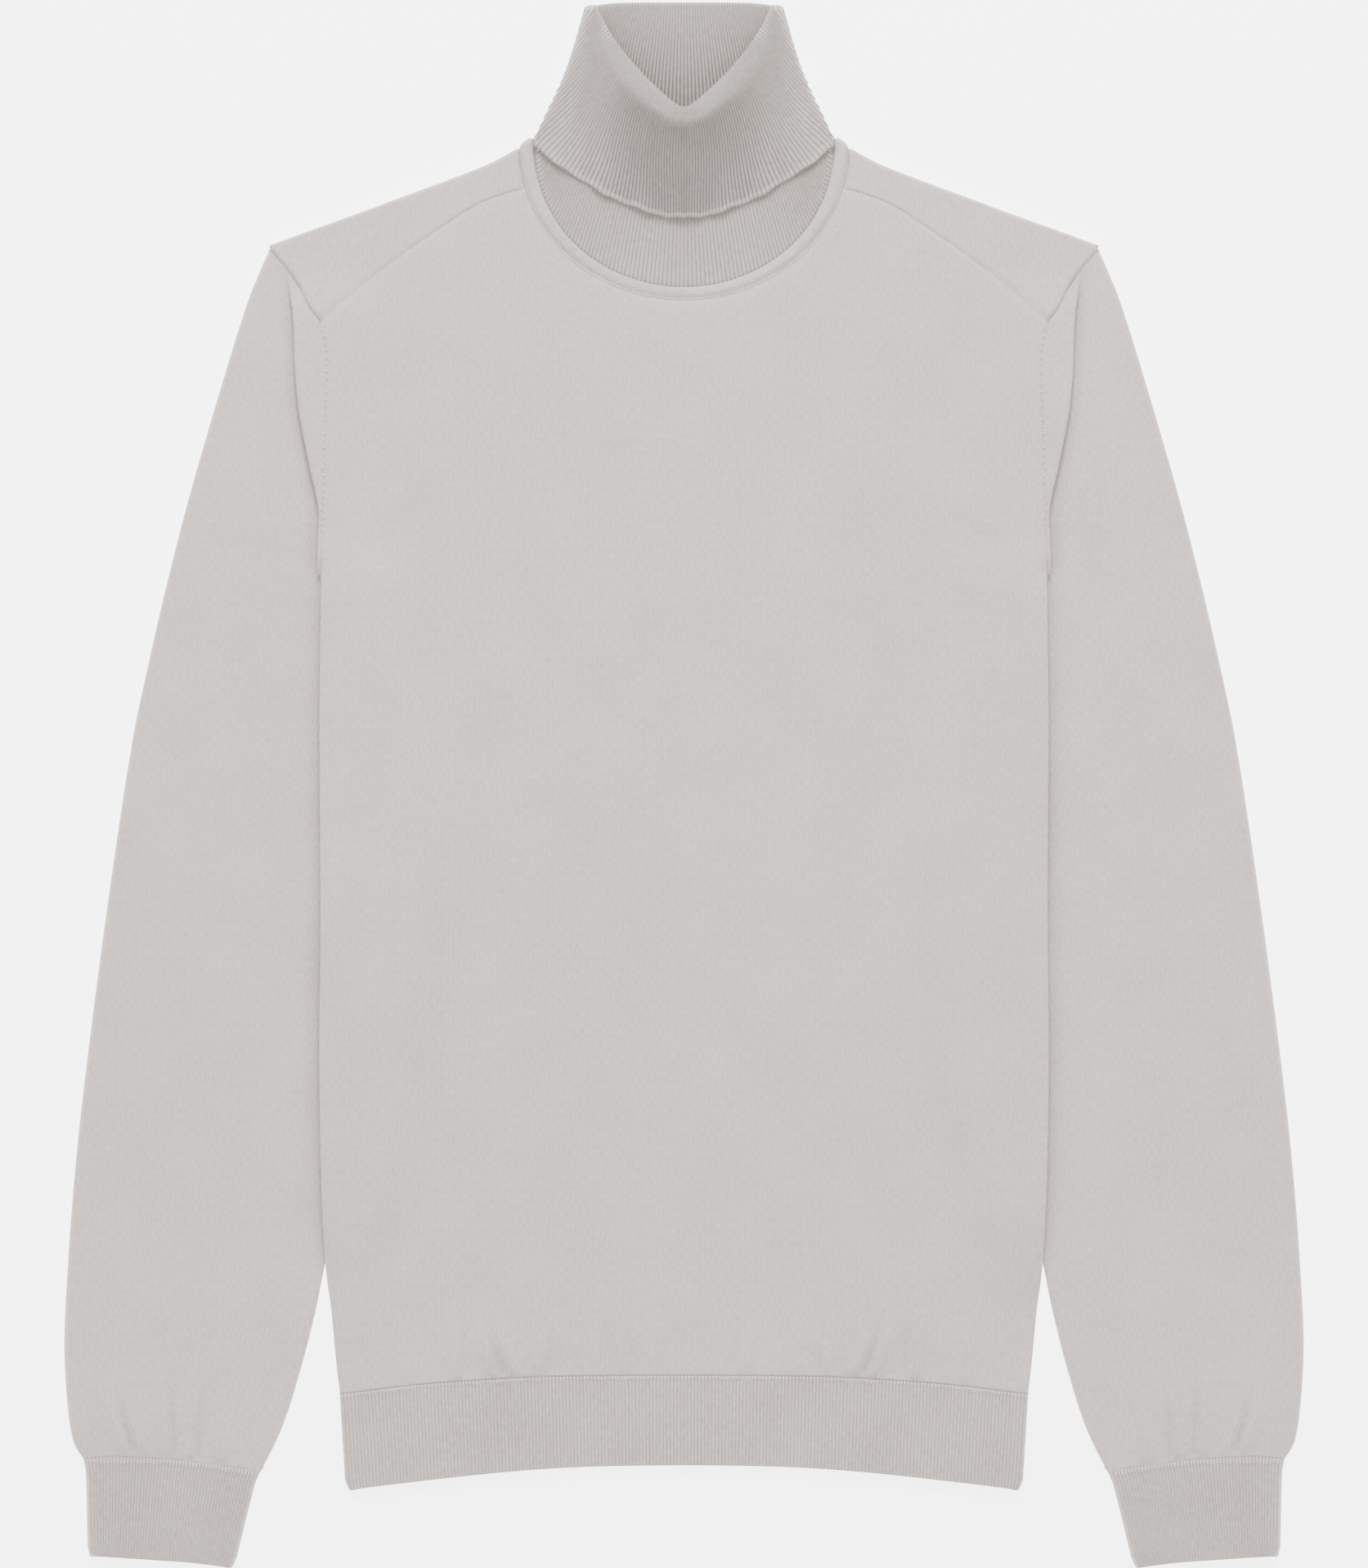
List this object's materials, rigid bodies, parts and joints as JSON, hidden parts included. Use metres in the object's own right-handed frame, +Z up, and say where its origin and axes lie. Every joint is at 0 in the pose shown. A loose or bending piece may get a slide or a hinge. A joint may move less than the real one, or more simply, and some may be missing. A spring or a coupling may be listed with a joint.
{
  "type": "turtleneck sweater",
  "caption": "Long-sleeved fine-knit turtleneck sweater laid flat on its back, with a folded rib collar, rib cuffs and a rib hem band.",
  "frame": {"origin": "under the middle of the whole garment, on the surface that it lies on", "axes": "+Y from the hem to the neck, +X to the right of the picture, +Z up off the surface, the front panel facing up"},
  "size_m": [0.6354, 0.8039, 0.0181],
  "materials": {
    "jersey": "fine plain wool knit, pale warm grey melange, matt with a slight nap",
    "rib": "fine 1x1 rib wool knit, pale warm grey melange, matt"
  },
  "bodies": {
    "root": {"front_panel": "jersey", "back_panel": "jersey", "sleeve_left": "jersey", "sleeve_right": "jersey", "cuff_left": "rib", "cuff_right": "rib", "hem_front": "rib", "hem_back": "rib", "neck_trim": "jersey", "collar": "rib"}
  },
  "joints": []
}
